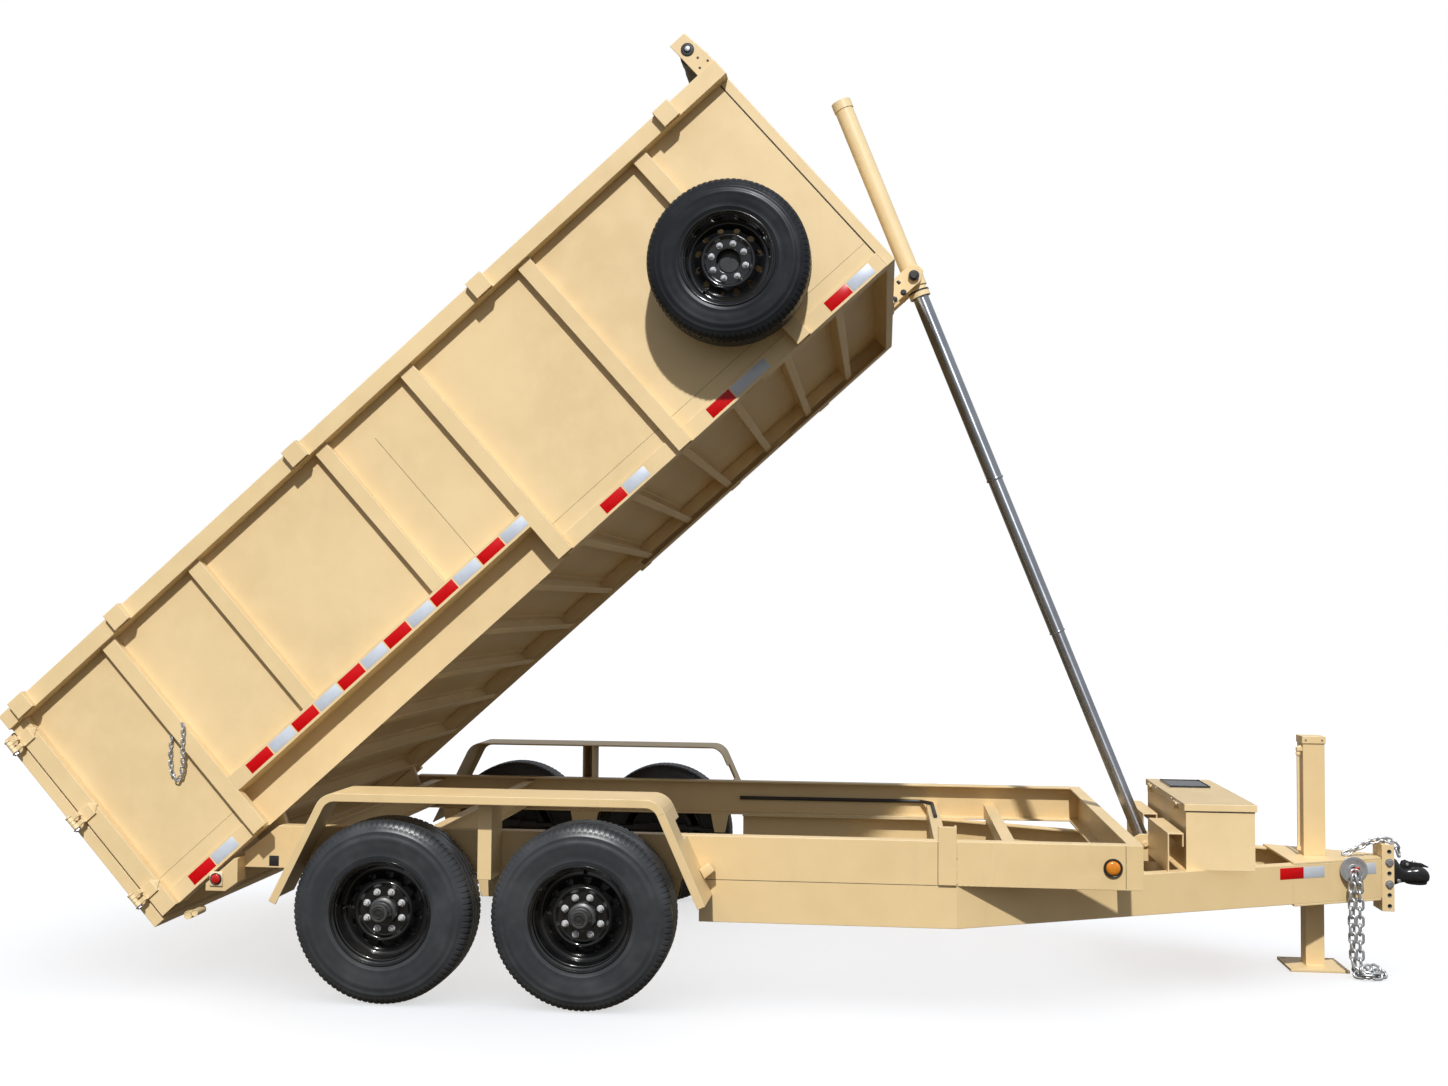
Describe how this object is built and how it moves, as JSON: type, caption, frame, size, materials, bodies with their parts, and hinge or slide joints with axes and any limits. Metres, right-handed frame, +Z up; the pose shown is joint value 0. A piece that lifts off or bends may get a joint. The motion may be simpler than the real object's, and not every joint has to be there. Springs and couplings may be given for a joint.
{
  "type": "dump trailer",
  "caption": "Tandem-axle dump trailer with a high-sided bed raised on a front telescopic hoist, barn doors at the rear, an A-frame tongue and a drop-leg jack.",
  "frame": {"origin": "middle of the bounding box's floor: between the wheels and the jack's foot, on the ground", "axes": "+X forward to the coupler, +Y to the trailer's left, +Z up"},
  "size_m": [6.5279, 2.6675, 4.2768],
  "materials": {
    "tan_paint": "semi-gloss",
    "black_paint": "satin",
    "black_wheel_paint": "gloss",
    "tyre_rubber": "matte",
    "polished_steel": "polished",
    "zinc": "zinc plated",
    "black_plastic": "glass-faced cells",
    "hose_rubber": "matte",
    "lamp_plastic": "moulded lens"
  },
  "bodies": {
    "frame": {"axle_front": "black_paint", "axle_rear": "black_paint", "bed_pivot_pins": "tan_paint", "chain_holder": "zinc", "coupler": "black_paint", "coupler_channel": "tan_paint", "fender_left": "tan_paint", "fender_right": "tan_paint", "frame_crossmembers": "tan_paint", "hoist_base": "tan_paint", "hydraulic_line": "hose_rubber", "jack_hose": "tan_paint", "jack_leg": "tan_paint", "jack_tube": "tan_paint", "light_boxes": "tan_paint", "lights": "lamp_plastic", "main_rails": "tan_paint", "power_unit": "black_paint", "safety_chains": "zinc", "step_plate": "tan_paint", "suspension": "black_paint", "tongue_beams": "tan_paint", "tongue_plates": "tan_paint", "toolbox_body": "tan_paint"},
    "bed": {"bed_floor": "tan_paint", "bed_floor_frame": "tan_paint", "bed_side_right": "tan_paint", "bed_side_left": "tan_paint", "side_posts": "tan_paint", "lower_rails": "tan_paint", "rear_frame": "tan_paint", "bed_front": "tan_paint", "top_rail": "tan_paint", "tarp_roller": "black_paint", "spare_tyre": "tyre_rubber", "spare_rim": "black_wheel_paint", "spare_mount": "tan_paint", "trunnion_bracket": "tan_paint"},
    "door_right": {"rear_door_right": "tan_paint", "door_lock_bar": "tan_paint"},
    "door_left": {"rear_door_left": "tan_paint"},
    "lid": {"toolbox_lid": "tan_paint", "solar_panel": "black_plastic"},
    "barrel": {"hoist_barrel": "tan_paint"},
    "stage_1": {"hoist_stage_1": "polished_steel"},
    "stage_2": {"hoist_stage_2": "polished_steel"},
    "stage_3": {"hoist_stage_3": "polished_steel"},
    "wheel_rear_right": {"tyre_rear_right": "tyre_rubber", "wheel_rear_right": "black_wheel_paint"},
    "wheel_front_right": {"tyre_front_right": "tyre_rubber", "wheel_front_right": "black_wheel_paint"},
    "wheel_rear_left": {"tyre_rear_left": "tyre_rubber", "wheel_rear_left": "black_wheel_paint"},
    "wheel_front_left": {"tyre_front_left": "tyre_rubber", "wheel_front_left": "black_wheel_paint"}
  },
  "joints": [
    {"name": "bed_dump", "type": "hinge", "parent": "frame", "child": "bed", "pos_m": [-1.99162, 0.038, 0.6002], "axis": [0, -1, 0], "range_deg": [-41.93, 0]},
    {"name": "door_right_swing", "type": "hinge", "parent": "bed", "child": "door_right", "pos_m": [-2.89594, -1.117, 0.7181], "axis": [-0.6682, 0, 0.744], "range_deg": [0, 245]},
    {"name": "door_left_swing", "type": "hinge", "parent": "bed", "child": "door_left", "pos_m": [-2.89594, 1.193, 0.7181], "axis": [0.6682, 0, -0.744], "range_deg": [0, 245]},
    {"name": "lid_hinge", "type": "hinge", "parent": "frame", "child": "lid", "pos_m": [2.028, 0.038, 0.808], "axis": [0, -1, 0], "range_deg": [0, 85]},
    {"name": "hoist_swing", "type": "hinge", "parent": "bed", "child": "barrel", "pos_m": [0.82375, 0.038, 3.34401], "axis": [0, -1, 0], "range_deg": [-0.5, 20.53]},
    {"name": "stage_1_slide", "type": "slide", "parent": "barrel", "child": "stage_1", "axis": [0.3726, 0, -0.928], "range_m": [-0.973, 0.003]},
    {"name": "stage_2_slide", "type": "slide", "parent": "stage_1", "child": "stage_2", "axis": [0.3726, 0, -0.928], "range_m": [-0.799, 0.003]},
    {"name": "stage_3_slide", "type": "slide", "parent": "stage_2", "child": "stage_3", "axis": [0.3726, 0, -0.928], "range_m": [-1.0358, 0.003]},
    {"name": "spin_rear_right", "type": "hinge", "parent": "frame", "child": "wheel_rear_right", "pos_m": [-1.446, -1.127, 0.391], "axis": [0, 1, 0], "continuous": true},
    {"name": "spin_front_right", "type": "hinge", "parent": "frame", "child": "wheel_front_right", "pos_m": [-0.582, -1.127, 0.391], "axis": [0, 1, 0], "continuous": true},
    {"name": "spin_rear_left", "type": "hinge", "parent": "frame", "child": "wheel_rear_left", "pos_m": [-1.446, 1.203, 0.391], "axis": [0, 1, 0], "continuous": true},
    {"name": "spin_front_left", "type": "hinge", "parent": "frame", "child": "wheel_front_left", "pos_m": [-0.582, 1.203, 0.391], "axis": [0, 1, 0], "continuous": true}
  ],
  "couplings": [
    {"joint": "hoist_swing", "follows": "bed_dump", "ratio": -0.47761},
    {"joint": "stage_1_slide", "follows": "bed_dump", "m_per_rad": 1.3255},
    {"joint": "stage_2_slide", "follows": "bed_dump", "m_per_rad": 1.0877},
    {"joint": "stage_3_slide", "follows": "bed_dump", "m_per_rad": 1.4113}
  ]
}
